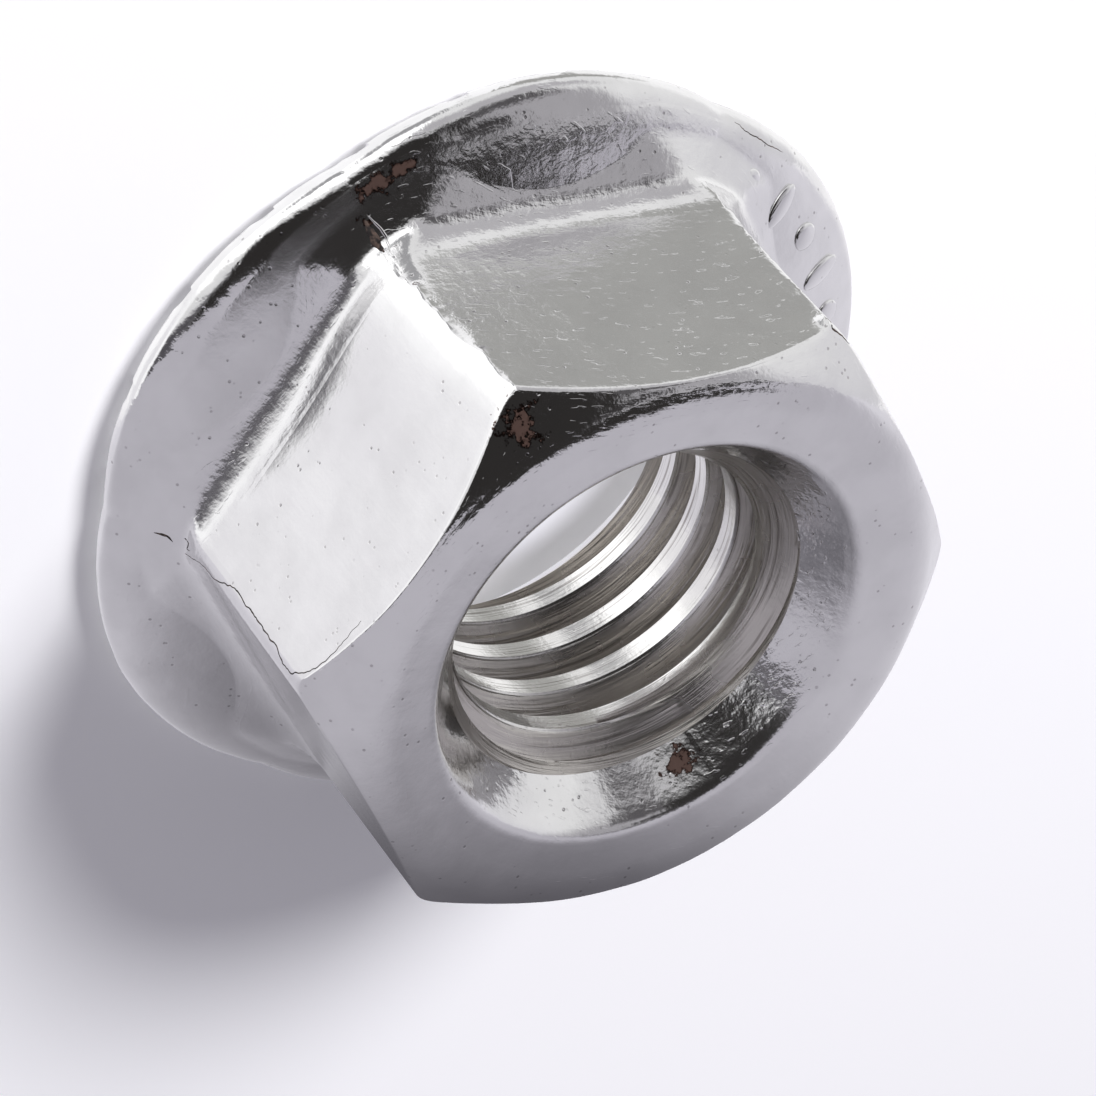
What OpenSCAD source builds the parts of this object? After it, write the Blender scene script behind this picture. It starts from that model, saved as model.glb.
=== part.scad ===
// Hex nut with a serrated flange, cold formed in one piece from stainless steel
// The nut stands on its flange: the bearing face is at z = 0 and the thread axis is Z
// The hexagon has a corner on +X

/* [Thread] */
// Nominal thread diameter
thread_d = 8; // [7:0.25:8.5]
// Thread pitch
thread_pitch = 1.25; // [0.75:0.05:1.5]
// Bore diameter over the thread's basic inner diameter, within its tolerance
bore_play = 0.25; // [0:0.01:0.26]

/* [Hexagon] */
// Width across the flats
across_flats = 13; // [12.5:0.1:14]
// Height from the bearing face to the crown
nut_height = 8; // [7:0.1:10]
// Rounding of the six long edges
corner_round = 0.6; // [0.2:0.1:1]

/* [Front end] */
// Slope of the chamfer that runs over the corners
chamfer_angle = 44; // [30:1:50]
// Rounding between the chamfer and the front face
crown_round = 1; // [0.5:0.1:1.2]
// How far the top of the crown lies inside the flats
crown_inset = 0.6; // [0.4:0.05:0.8]
// Slope of the front face down to the mouth
dish_angle = 7; // [2:1:10]
// Extra mouth diameter over the thread
mouth_margin = 1.4; // [1:0.1:1.6]
// Rounding of the mouth's lip
lip_round = 0.5; // [0.2:0.05:0.6]
// Included angle of the mouth
mouth_angle = 75; // [60:1:90]

/* [Flange] */
// Largest diameter of the flange
flange_d = 17.74; // [17:0.02:19]
// Height of the flange's widest line above the bearing face
rim_height = 0.55; // [0.4:0.05:0.8]
// Rounding of the rim's upper side
rim_round = 0.62; // [0.4:0.02:0.9]
// Slope of the flange's upper side
flange_slope = 20; // [12:1:25]
// Shift of the six lobes that the rim is formed of, each towards its flat
lobe_shift = 1.5; // [0.5:0.1:2]

/* [Root of the flats] */
// Fillet between a flat and the flange
root_fillet = 1.1; // [0.6:0.05:1.3]
// Slope at which the fillet runs out on the flange
fillet_end_slope = 30; // [27:1:35]
// Depth to which the fillet's end dips under the flange's surface
fillet_bite = 0.02; // [0.01:0.01:0.05]
// How far the six folds under the corners reach out over the flange
fold_reach = 0.8; // [0.5:0.05:0.8]
// Height of the folds' start above the slope of the flange
fold_rise = 0.25; // [0.1:0.05:0.4]

/* [Bearing face] */
// Diameter of the recess in the bearing face
recess_d = 10.2; // [9.4:0.1:10.4]
// Included angle of the recess
recess_angle = 90; // [80:1:110]
// Outer diameter of the plain land round the recess
inner_land_d = 11; // [10.8:0.1:12]
// Number of locking teeth
tooth_count = 24; // [16:1:30]
// Width of each tooth's flat land, as an angle about the axis
tooth_land = 5; // [2:0.5:6]
// Slope of each tooth's ramp
tooth_ramp = 14; // [8:1:18]

/* [Hidden] */
$fn = 96;
sides = 6;
turn = 360 / sides;
spare = 1;

// Thread and bore
bore_r = (thread_d - 1.0825 * thread_pitch + bore_play) / 2;
recess_r = recess_d / 2;
recess_depth = (recess_r - bore_r) / tan(recess_angle / 2);
mouth_r = (thread_d + mouth_margin) / 2;

// Points of an arc about a centre
function arc(centre, r, from, to, steps) =
    [for (i = [0:steps]) let (a = from + (to - from) * i / steps) centre + r * [cos(a), sin(a)]];

// Hexagon, its corners rounded by arcs that touch both flats
flat_r = across_flats / 2;
corner_centre_r = (flat_r - corner_round) / cos(turn / 2);
corner_r = corner_centre_r + corner_round;
corner_steps = 4;

// Crown: an arc between the chamfer's slope and the dish's slope
crown_r = flat_r - crown_inset;
crown_z = nut_height - crown_round;
chamfer_start = [crown_r + crown_round * sin(chamfer_angle), crown_z + crown_round * cos(chamfer_angle)];
dish_start = [crown_r - crown_round * sin(dish_angle), crown_z + crown_round * cos(dish_angle)];

// Lip: an arc between the dish's slope and the mouth's cone
lip_r = mouth_r + lip_round * cos(mouth_angle / 2);
dish_end_r = lip_r - lip_round * sin(dish_angle);
dish_end = [dish_end_r, dish_start[1] - (dish_start[0] - dish_end_r) * tan(dish_angle)];
lip_z = dish_end[1] - lip_round * cos(dish_angle);
mouth_start = [mouth_r, lip_z + lip_round * sin(mouth_angle / 2)];
mouth_end_z = mouth_start[1] - (mouth_r - bore_r) / tan(mouth_angle / 2);

// Lobe of the flange, about its own axis: the rim's upper arc runs into the slope
rim_r = flange_d / 2;
lobe_r = rim_r - lobe_shift;
slope_start = [lobe_r - rim_round * (1 - sin(flange_slope)), rim_height + rim_round * cos(flange_slope)];
lobe_top_z = slope_start[1] + slope_start[0] * tan(flange_slope);
rim_steps = 4;

// Height of the flange's upper side, r from the thread axis: at the middle of a flat and under a corner
function flange_z(r) = lobe_top_z - (r - lobe_shift) * tan(flange_slope);
function valley_z(r) = lobe_top_z
    - norm([r * cos(turn / 2) - lobe_shift, r * sin(turn / 2)]) * tan(flange_slope);

// Root fillet: an arc from the flat down to a run-out that dips under the flange
fillet_end_x = flat_r + root_fillet * (1 - sin(fillet_end_slope));
fillet_end_z = flange_z(fillet_end_x) - fillet_bite;
fillet_z = fillet_end_z + root_fillet * cos(fillet_end_slope);
run_out_x = fillet_end_x + (fillet_end_z - rim_height) / tan(fillet_end_slope);

// Folds: a cone that trims the fillets where two of them meet under a corner
fold_top_z = flange_z(corner_r) + fold_rise;
fold_end_r = corner_r + fold_reach;
fold_end_z = valley_z(fold_end_r) - fillet_bite;

// Locking teeth
gap_turn = 360 / tooth_count - tooth_land;
tooth_reach = rim_r + spare;
gap_width = tooth_reach * tan(gap_turn);

// Turned outline of the crown and the chamfer, which runs out past the corners
module crown_profile() {
    chamfer_r = corner_r + spare;
    polygon([
        [0, 0],
        [chamfer_r, 0],
        [chamfer_r, chamfer_start[1] - (chamfer_r - chamfer_start[0]) * tan(chamfer_angle)],
        chamfer_start,
        [crown_r, crown_z],
        dish_start,
        [0, dish_start[1] - dish_start[0] * tan(dish_angle)]
    ]);
    translate([crown_r, crown_z]) circle(crown_round);
}

// Outline points of the rounded corner at an angle about the axis
function corner_points(at) =
    arc(corner_centre_r * [cos(at), sin(at)], corner_round, at - turn / 2, at + turn / 2, corner_steps);

// Hexagon with rounded corners, between the flange and the chamfer
module hexagon() {
    intersection() {
        linear_extrude(nut_height + spare) polygon([
            for (i = [0:sides - 1], point = corner_points(turn * i)) point
        ]);
        rotate_extrude() crown_profile();
    }
}

// One lobe of the flange, turned about its own axis
module lobe() {
    rotate_extrude() polygon(concat(
        [[0, 0]],
        arc([lobe_r - rim_height, rim_height], rim_height, -90, 0, rim_steps),
        arc([lobe_r - rim_round, rim_height], rim_round, 0, 90 - flange_slope, rim_steps),
        [[0, lobe_top_z]]
    ));
}

// The flange under one flat, from corner to corner, with the flat facing +X
module flange_sector() {
    reach = rim_r + spare;
    half_width = reach * tan(turn / 2);
    intersection() {
        translate([lobe_shift, 0, 0]) lobe();
        translate([0, 0, -spare])
            linear_extrude(nut_height) polygon([[0, 0], [reach, -half_width], [reach, half_width]]);
    }
}

module flange() {
    for (i = [0:sides - 1]) rotate(turn * (i + 0.5)) flange_sector();
}

// Section across two opposite flats with their fillets
module fillet_section() {
    difference() {
        polygon([
            [-run_out_x, rim_height],
            [-fillet_end_x, fillet_end_z],
            [-flat_r, fillet_z],
            [flat_r, fillet_z],
            [fillet_end_x, fillet_end_z],
            [run_out_x, rim_height]
        ]);
        for (side = [-1, 1]) {
            translate([side * (flat_r + root_fillet), fillet_z]) circle(root_fillet);
        }
    }
}

// Fillets of all six flats: the sections of the three pairs, and the cone of the folds
module root_fillets() {
    intersection() {
        intersection_for(i = [0:sides / 2 - 1]) {
            rotate(turn * (i + 0.5)) rotate([90, 0, 0])
                linear_extrude(4 * flat_r, center = true) fillet_section();
        }
        rotate_extrude() polygon([
            [0, rim_height],
            [fold_end_r, rim_height],
            [fold_end_r, fold_end_z],
            [corner_r, fold_top_z],
            [corner_r, nut_height],
            [0, nut_height]
        ]);
    }
}

// Outline that the mouth's cone and the lip's rounding cut away
module mouth_profile() {
    difference() {
        polygon([
            [0, mouth_end_z],
            [bore_r, mouth_end_z],
            mouth_start,
            [lip_r, lip_z],
            dish_end,
            [dish_end[0], nut_height + spare],
            [0, nut_height + spare]
        ]);
        translate([lip_r, lip_z]) circle(lip_round);
    }
}

// Thread bore at the thread's inner diameter, with the mouth above and the recess below
module bore() {
    translate([0, 0, -spare]) cylinder(r = bore_r, h = nut_height + 2 * spare);
    translate([0, 0, -spare]) cylinder(
        r1 = recess_r + spare * tan(recess_angle / 2),
        r2 = bore_r,
        h = recess_depth + spare
    );
    rotate_extrude() mouth_profile();
}

// Gap between two locking teeth: a ramp that starts at one land and ends at a steep side
module tooth_gap() {
    intersection() {
        rotate([90, 0, 90])
            linear_extrude(tooth_reach)
                polygon([[0, 0], [gap_width, 0], [gap_width, gap_width * tan(tooth_ramp)]]);
        translate([0, 0, -spare])
            linear_extrude(nut_height)
                polygon([[0, 0], [tooth_reach, 0], [tooth_reach, gap_width]]);
    }
}

// The ramps lead when the nut is tightened and the steep sides when it loosens
// A gap is centred on +X, so a gap lies under each corner at four teeth to a flat
module serrations() {
    difference() {
        for (i = [0:tooth_count - 1]) {
            rotate(360 / tooth_count * i + gap_turn / 2) mirror([0, 1, 0]) tooth_gap();
        }
        translate([0, 0, -spare]) cylinder(d = inner_land_d, h = nut_height);
    }
}

module flange_nut() {
    color("silver") difference() {
        union() {
            hexagon();
            root_fillets();
            flange();
        }
        bore();
        serrations();
    }
}

flange_nut();
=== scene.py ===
"""Looks of the serrated flange nut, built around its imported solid."""
import math

import bmesh
import bpy
import numpy as np
from mathutils import Matrix, Vector, noise
from mathutils.bvhtree import BVHTree


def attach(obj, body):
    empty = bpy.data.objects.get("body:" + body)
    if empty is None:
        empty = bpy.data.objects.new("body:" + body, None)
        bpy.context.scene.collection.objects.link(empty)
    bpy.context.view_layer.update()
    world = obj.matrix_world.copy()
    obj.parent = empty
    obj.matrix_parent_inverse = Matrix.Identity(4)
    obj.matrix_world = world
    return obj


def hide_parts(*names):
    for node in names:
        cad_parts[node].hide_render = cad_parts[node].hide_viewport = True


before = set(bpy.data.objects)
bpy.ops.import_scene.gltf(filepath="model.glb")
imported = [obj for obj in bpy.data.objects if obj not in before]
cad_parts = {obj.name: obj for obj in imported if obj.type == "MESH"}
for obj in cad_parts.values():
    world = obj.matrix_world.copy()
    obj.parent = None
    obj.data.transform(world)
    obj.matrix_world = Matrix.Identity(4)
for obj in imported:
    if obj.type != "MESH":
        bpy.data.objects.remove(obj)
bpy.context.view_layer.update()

# The drawn lines wander the same way each run
noise.seed_set(1)

MM = 0.001

# Sizes in millimetres, the same as the solid's
FLAT = 6.5
CORNER_ROUND = 0.6
LOBE = 7.37
LOBE_SHIFT = 1.5
RIM_HEIGHT = 0.55
RIM_ROUND = 0.62
SLOPE = math.radians(20)
ROOT_ROUND = 1.1
ROOT_END = math.radians(60)
CROWN_R = 5.9
CROWN_Z = 7.0
CROWN_ROUND = 1.0
CHAMFER = math.radians(44)
DISH = math.radians(7)
LIP_ROUND = 0.5
MOUTH_R = 4.7
MOUTH = math.radians(37.5)
BORE_R = 3.4484
RECESS_R = 5.1
LAND_R = 5.5
TEETH = 24
GAP = 10.0
RAMP = math.radians(14)

# Thread: pitch, outer radius, half width of the crest and height of a crest's middle on +X
PITCH = 1.25
THREAD_R = 4.0
CREST_HALF = 0.235
CREST_Z = 0.32
FLANK = math.radians(30)

# What follows from them
SIDE = 60.0
HALF = math.radians(SIDE / 2)
SLOPE_START = (LOBE - RIM_ROUND * (1 - math.sin(SLOPE)), RIM_HEIGHT + RIM_ROUND * math.cos(SLOPE))
LOBE_TOP = SLOPE_START[1] + SLOPE_START[0] * math.tan(SLOPE)
ROOT_X = FLAT + ROOT_ROUND * (1 - math.cos(ROOT_END))
ROOT_LOW = LOBE_TOP - (ROOT_X - LOBE_SHIFT) * math.tan(SLOPE) - 0.02
ROOT_Z = ROOT_LOW + ROOT_ROUND * math.sin(ROOT_END)
CORNER_R = (FLAT - CORNER_ROUND) / math.cos(HALF) + CORNER_ROUND
FOLD_TOP = LOBE_TOP - (CORNER_R - LOBE_SHIFT) * math.tan(SLOPE) + 0.25
FOLD_R = CORNER_R + 0.8
DISH_R = CROWN_R - CROWN_ROUND * math.sin(DISH)
DISH_Z = CROWN_Z + CROWN_ROUND * math.cos(DISH)
LIP_R = MOUTH_R + LIP_ROUND * math.cos(MOUTH)
LIP_END_R = LIP_R - LIP_ROUND * math.sin(DISH)
LIP_END_Z = DISH_Z - (DISH_R - LIP_END_R) * math.tan(DISH)
LIP_Z = LIP_END_Z - LIP_ROUND * math.cos(DISH)
MOUTH_Z = LIP_Z + LIP_ROUND * math.sin(MOUTH)
WALL_TOP = MOUTH_Z - (MOUTH_R - THREAD_R - 0.02) / math.tan(MOUTH)
WALL_LOW = RECESS_R - THREAD_R - 0.02


class Graph:
    """A node tree being built: adds nodes, links what is a socket and sets what is a value."""

    def __init__(self, tree):
        self.tree = tree

    def add(self, kind, inputs=None, **settings):
        node = self.tree.nodes.new(kind)
        for name, value in settings.items():
            setattr(node, name, value)
        for key, value in (inputs or {}).items():
            if isinstance(value, bpy.types.NodeSocket):
                self.tree.links.new(value, node.inputs[key])
            else:
                node.inputs[key].default_value = value
        return node

    def math(self, operation, *values):
        return self.add("ShaderNodeMath", dict(enumerate(values)), operation=operation).outputs[0]

    def product(self, *values):
        result = values[0]
        for value in values[1:]:
            result = self.math("MULTIPLY", result, value)
        return result

    def total(self, *values):
        result = values[0]
        for value in values[1:]:
            result = self.math("ADD", result, value)
        return result

    def length(self, first, second):
        return self.math("SQRT", self.total(self.product(first, first), self.product(second, second)))

    def vector(self, operation, *values):
        node = self.add("ShaderNodeVectorMath", dict(enumerate(values)), operation=operation)
        return node.outputs["Value" if operation in ("DOT_PRODUCT", "LENGTH", "DISTANCE") else "Vector"]

    def spread(self, value, low, high, to_low=0.0, to_high=1.0, smooth=True):
        kind = "SMOOTHSTEP" if smooth else "LINEAR"
        inputs = {"Value": value, "From Min": low, "From Max": high, "To Min": to_low, "To Max": to_high}
        return self.add("ShaderNodeMapRange", inputs, interpolation_type=kind).outputs["Result"]

    def mix(self, factor, first, second):
        node = self.add("ShaderNodeMix", data_type="RGBA")
        for index, value in ((0, factor), (6, first), (7, second)):
            if isinstance(value, bpy.types.NodeSocket):
                self.tree.links.new(value, node.inputs[index])
            else:
                node.inputs[index].default_value = value
        return node.outputs[2]


def geometry_tree(name, sizes):
    """A geometry tree with a named input for each size: its graph, the inputs' sockets and its output node."""
    tree = bpy.data.node_groups.new(name, "GeometryNodeTree")
    tree.interface.new_socket("Geometry", in_out="INPUT", socket_type="NodeSocketGeometry")
    for label, value in sizes.items():
        kind = "NodeSocketInt" if isinstance(value, int) else "NodeSocketFloat"
        socket = tree.interface.new_socket(label, in_out="INPUT", socket_type=kind)
        socket.default_value = value
    tree.interface.new_socket("Material", in_out="INPUT", socket_type="NodeSocketMaterial")
    tree.interface.new_socket("Geometry", in_out="OUTPUT", socket_type="NodeSocketGeometry")
    graph = Graph(tree)
    return graph, graph.add("NodeGroupInput").outputs, graph.add("NodeGroupOutput")


def apply_tree(piece, graph, values):
    """Runs the tree on the piece with these values and turns the result into the piece's plain mesh."""
    modifier = piece.modifiers.new(graph.tree.name, "NODES")
    modifier.node_group = graph.tree
    for item in graph.tree.interface.items_tree:
        if item.in_out == "INPUT" and item.name in values:
            modifier[item.identifier] = values[item.name]
    bpy.context.view_layer.update()
    depsgraph = bpy.context.evaluated_depsgraph_get()
    mesh = bpy.data.meshes.new_from_object(piece.evaluated_get(depsgraph))
    piece.modifiers.remove(modifier)
    old = piece.data
    piece.data = mesh
    bpy.data.meshes.remove(old)
    mesh.name = piece.name


def new_piece(name, mesh):
    piece = bpy.data.objects.new(name, mesh)
    bpy.context.scene.collection.objects.link(piece)
    return piece


# Columns of the body's grid: closest at the corners in view, doubled at the teeth's steep sides
def column_angles():
    steps = {0: 0.25, 60: 0.3, 120: 0.75, 180: 0.75, 240: 0.75, 300: 0.3, 360: 0.25}
    close = [corner + shift for corner, step in steps.items() for shift in np.arange(-4.5, 4.51, step)]
    plain = np.concatenate([np.arange(0, 112, 1.25), np.arange(112, 280, 2), np.arange(280, 360, 1.25)])
    walls = [15 * i - GAP / 2 + side for i in range(1, TEETH + 1) for side in (-0.03, 0.03)]
    ramps = [15 * i + GAP / 2 for i in range(TEETH)]
    fixed = np.array(walls + ramps)
    loose = np.array([a for a in list(plain) + close if 0 <= a <= 360])
    loose = loose[np.min(np.abs(loose[:, None] - fixed[None, :]), axis=1) > 0.12]
    angles = np.unique(np.round(np.concatenate([[0, 360], fixed, loose]), 3))
    keep = np.concatenate([[True], np.diff(angles) > 0.05])
    return np.radians(angles[keep])


PHI = column_angles()
OFF = (PHI + 1e-9) % (2 * HALF) - HALF


def lobe_radius(radius):
    """Distance from the thread axis to a lobe's circle, in each column."""
    return LOBE_SHIFT * np.cos(OFF) + np.sqrt(radius**2 - (LOBE_SHIFT * np.sin(OFF)) ** 2)


# Length of the flange's slope that is rounded over into the rim, under a corner and at the middle of a side
SHOULDER = (1.0, 1.55)
SHOULDER_R = LOBE - np.interp(np.abs(OFF), (0, HALF), SHOULDER[::-1]) * math.cos(SLOPE)


def to_lobe(radius):
    """Distance from the lobe's own axis of what lies at that distance from the thread axis, in each column."""
    return np.hypot(radius * np.cos(OFF) - LOBE_SHIFT, radius * np.sin(OFF))


def lobe_height(across):
    """Height of a lobe's upper side at that distance from its own axis: one curve from the rim into the slope."""
    part = np.sqrt(np.clip((LOBE - across) / (LOBE - SHOULDER_R), 0, 1))
    brow = LOBE_TOP - LOBE * math.tan(SLOPE)
    end = LOBE_TOP - SHOULDER_R * math.tan(SLOPE)
    curve = RIM_HEIGHT * (1 - part) ** 2 + 2 * brow * part * (1 - part) + end * part**2
    return np.where(across < SHOULDER_R, LOBE_TOP - across * math.tan(SLOPE), curve)


def flange_height(radius):
    """Height of the flange's upper side at that distance from the thread axis, in each column."""
    return lobe_height(to_lobe(radius))


def hexagon_radius(flat, rounding):
    """Distance from the thread axis to a hexagon with rounded corners, in each column."""
    centre = (flat - rounding) / math.cos(HALF)
    turn = HALF - np.abs(OFF)
    on_corner = centre * np.cos(turn) + np.sqrt(np.maximum(rounding**2 - (centre * np.sin(turn)) ** 2, 0))
    straight = flat / np.cos(OFF)
    return np.where(straight * np.sin(turn) < rounding * math.sin(HALF), on_corner, straight)


def soft_min(a, b, width):
    return (a + b - np.sqrt((a - b) ** 2 + width**2)) / 2


HEX_R = hexagon_radius(FLAT, CORNER_ROUND)
LEVELS = np.arange(0, 9, 0.02)


def ragged(seed):
    """How far a torn edge wanders aside, at each of the levels."""
    return np.array([
        0.10 * noise.noise((z * 1.7, seed, 0.5)) + 0.08 * noise.noise((z * 6.0, seed, 7.5))
        for z in LEVELS
    ])


# Smeared corners: angle, side that is rounded over, how proud it stands, levels, torn edge's place there, raggedness
SMEARED = (
    (0.0, 1, 7.41, (2.0, 3.3, 4.5, 5.6, 6.9), (0.26, 0.20, 0.13, 0.03, -0.08), ragged(1.5) * 1.5),
    (300.0, -1, 7.38, (2.0, 4.5, 6.9), (-0.20, -0.28, -0.15), ragged(9.5) * 1.8),
)


# Smear: slope and bend of its band, the band's width and how far it then fades out
SMEAR_SLOPE = 0.230
SMEAR_BEND = 0.204
SMEAR_BAND = 0.85
SMEAR_FADE = 2.6
# Its end on the plain side, how soon the torn step fades there, and the height that the smear starts at
SMEAR_END = 2.0
SMEAR_END_X = 6.351
TORN_STEP = 0.1
SMEAR_LOW = 1.9


def ease(part):
    return part * part * (3 - 2 * part)


def smeared_shift(z):
    """Shift of the hexagon's skin at the smeared corners, in each column, at those heights."""
    shift = np.zeros(PHI.shape)
    for corner, side, proud, levels, places, wander in SMEARED:
        turn = ((PHI - math.radians(corner) + math.pi) % (2 * math.pi) - math.pi) * side
        line = np.interp(z, levels, places)
        edge = line + np.interp(z, LEVELS, wander)
        radius = HEX_R.copy()
        for _ in range(14):
            aside = radius * np.sin(turn)
            plane = (FLAT - np.abs(aside) / 2) / math.cos(HALF)
            on_side = np.clip(aside - line, -0.3, SMEAR_BAND)
            bend = proud - SMEAR_SLOPE * on_side - SMEAR_BEND * np.maximum(on_side, 0) ** 2
            far = np.clip((aside - line - SMEAR_BAND) / SMEAR_FADE, 0, 1)
            stands = bend - (FLAT - (line + SMEAR_BAND) / 2) / math.cos(HALF)
            bend = np.where(far > 0, plane + stands * (1 - ease(far)), bend)
            fall = (SMEAR_END_X - proud) / (line + SMEAR_END)
            low = proud + fall * np.clip(line - aside, -0.3 * (line + SMEAR_END), line + SMEAR_END)
            step = (fall - SMEAR_SLOPE) * (edge - line)
            low = low + step * np.exp(np.minimum(aside - edge, 0) / TORN_STEP)
            x = np.where(aside > edge, bend, np.where(aside > -SMEAR_END, low, plane))
            radius = x / np.cos(turn)
        part = np.clip((z - SMEAR_LOW) / np.where(aside > edge, 0.7, 1.9), 0, 1)
        shift += np.where(np.abs(turn) < math.radians(33), radius - HEX_R, 0) * ease(part)
    return shift


# A fold ends just under the flange's skin, in the column of a corner
CORNER_COLUMN = 0
FOLD_BITE = 0.05


def root_radius(z):
    """Distance to the root fillet and the folds under the corners, in each column, at those heights."""
    drop = np.clip((ROOT_Z - z) / ROOT_ROUND, 0, math.sin(ROOT_END))
    out = FLAT + ROOT_ROUND * (1 - np.sqrt(1 - drop**2)) + np.maximum(ROOT_LOW - z, 0) * math.tan(ROOT_END)
    rounding = CORNER_ROUND * np.clip(1 - drop / math.sin(ROOT_END), 0.25, 1)
    fillet = hexagon_radius(out, rounding)
    fold_end = flange_height(FOLD_R)[CORNER_COLUMN] - FOLD_BITE
    fold = CORNER_R + np.maximum(FOLD_TOP - z, 0) * (FOLD_R - CORNER_R) / (FOLD_TOP - fold_end)
    return np.minimum(fillet, soft_min(fillet, fold + 0.03, 0.05))


def root_foot():
    """Height at which the root meets the flange, in each column."""
    low = np.full(PHI.shape, RIM_HEIGHT)
    high = np.full(PHI.shape, ROOT_Z)
    for _ in range(40):
        middle = (low + high) / 2
        above = middle > flange_height(root_radius(middle))
        high = np.where(above, middle, high)
        low = np.where(above, low, middle)
    return high


def outer_rows():
    """Rows from the recess's edge over the bearing face, rim, flange, root, flats and crown to the bore's wall."""
    rows = []

    def put(kind, r, z):
        rows.append((np.broadcast_to(r, PHI.shape).astype(float), np.broadcast_to(z, PHI.shape).astype(float), kind))

    foot = lobe_radius(LOBE - RIM_HEIGHT)
    low = root_foot()
    reach = root_radius(low)
    last = np.maximum(SHOULDER_R, to_lobe(reach))
    start = lobe_radius(last)
    for r in (RECESS_R, (RECESS_R + LAND_R) / 2, LAND_R, LAND_R + 0.004):
        put("bearing", r, 0)
    for part in (0.25, 0.5, 0.75, 1):
        put("bearing", LAND_R + (foot - LAND_R) * part, 0)
    for turn in np.radians([18, 36, 54, 72, 90]):
        put("rim", lobe_radius(LOBE - RIM_HEIGHT * (1 - math.sin(turn))), RIM_HEIGHT * (1 - math.cos(turn)))
    for part in np.linspace(0, 1, 15)[1:]:
        across = LOBE + (last - LOBE) * part**2
        put("rim" if part < 0.6 else "cone", lobe_radius(across), lobe_height(across))
    for part in np.linspace(0, 1, 12)[1:]:
        r = start + (reach - start) * part
        put("cone", r, flange_height(r) if part < 1 else low)
    for part in np.linspace(0, 1, 12)[1:]:
        rise = 1 - math.sin(ROOT_END * (1 - part)) / math.sin(ROOT_END)
        z = low + (ROOT_Z - low) * rise
        put("root", (root_radius(z) if part < 1 else HEX_R) + smeared_shift(z), z)
    edge = HEX_R + smeared_shift(CROWN_Z - 0.1)
    slanted = edge > CROWN_R + CROWN_ROUND * math.sin(CHAMFER)
    over = np.clip(edge - CROWN_R, 0, CROWN_ROUND)
    tilt = np.where(slanted, CHAMFER, np.arcsin(np.minimum(over / CROWN_ROUND, 1)))
    run = np.where(slanted, (edge - CROWN_R - CROWN_ROUND * math.sin(CHAMFER)) / math.cos(CHAMFER), 0)
    top = CROWN_Z + CROWN_ROUND * np.cos(tilt) - run * math.sin(CHAMFER)
    for part in np.linspace(0, 1, 46)[1:-1]:
        z = ROOT_Z + (top - 0.07 - ROOT_Z) * part
        put("flat", HEX_R + smeared_shift(np.minimum(z, CROWN_Z - 0.1)), z)
    put("flat", edge, top - 0.07)
    put("crown", edge - 0.012, top)
    length = run + (tilt + DISH) * CROWN_ROUND
    for part in (0.045, 0.12, 0.22, 0.33, 0.44, 0.56, 0.67, 0.78, 0.89, 1):
        gone = length * part
        on_slant = gone < run
        turn = tilt - np.maximum(gone - run, 0) / CROWN_ROUND
        left = np.where(on_slant, run - gone, 0)
        put(
            "crown",
            CROWN_R + CROWN_ROUND * np.sin(turn) + left * math.cos(CHAMFER),
            CROWN_Z + CROWN_ROUND * np.cos(turn) - left * math.sin(CHAMFER),
        )
    for part in (0.25, 0.5, 0.75, 1):
        put("dish", DISH_R + (LIP_END_R - DISH_R) * part, DISH_Z + (LIP_END_Z - DISH_Z) * part)
    for turn in np.radians(np.linspace(97, 142.5, 6)[1:]):
        put("lip", LIP_R + LIP_ROUND * math.cos(turn), LIP_Z + LIP_ROUND * math.sin(turn))
    for part in np.linspace(0, 1, 8)[1:]:
        z = MOUTH_Z + (WALL_TOP - MOUTH_Z) * part
        put("mouth", wall_radius(z), z)
    return rows


# How each zone differs from side to side, from the side at 30 degrees on: how torn its skin is
TORN = {
    "bearing": (0.3, 0.3, 0.3, 0.3, 0.3, 0.3),
    "rim": (0.35, 0.35, 0.4, 0.35, 0.35, 0.5),
    "cone": (0.25, 0.35, 0.8, 0.3, 0.4, 1.0),
    "root": (0.45, 0.35, 0.8, 0.4, 0.4, 0.8),
    "flat": (0.05, 0.35, 0.9, 0.2, 0.4, 1.0),
    "crown": (0.40, 0.3, 0.4, 0.3, 0.3, 0.5),
    "dish": (0.15, 0.15, 0.15, 0.15, 0.15, 0.15),
    "lip": (0.3, 0.3, 0.3, 0.4, 0.4, 0.3),
    "mouth": (0.3, 0.3, 0.4, 0.9, 1.0, 0.5),
}

# How matt each zone is over the bright metal
MATT = {
    "bearing": (0.10,) * 6,
    "cone": (0.17, 0.12, 0.10, 0.12, 0.12, 0.02),
    "root": (0.06, 0.08, 0.04, 0.08, 0.08, 0.02),
    "flat": (0.03,) * 6,
    "dish": (0.10,) * 6,
    "lip": (0.05,) * 6,
    "mouth": (0.02,) * 6,
}

# How far each zone's skin is dented out of true, in mm
DENTED = {"rim": 0.022, "cone": 0.010, "root": 0.008, "crown": 0.008, "dish": 0.006, "lip": 0.010, "mouth": 0.006}

# Stains: place in mm and reach
STAINS = (
    ((7.90, 0.17, 1.42), 0.16),
    ((6.92, 0.22, 7.40), 0.46),
    ((8.25, -0.10, 1.06), 0.20),
    ((8.28, -0.50, 1.06), 0.22),
    ((8.24, -0.90, 1.08), 0.22),
    ((8.20, -1.25, 1.10), 0.16),
    ((-4.28, 0.44, 7.19), 0.38),
)


def by_side(values):
    """A value for each of the six sides, in each column, blended across the corners."""
    places = [60 * k + end for k in range(-1, 7) for end in (0.8, 59.2)]
    levels = [values[k % 6] for k in range(-1, 7) for _ in range(2)]
    return np.interp(np.degrees(PHI), places, levels)


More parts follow.
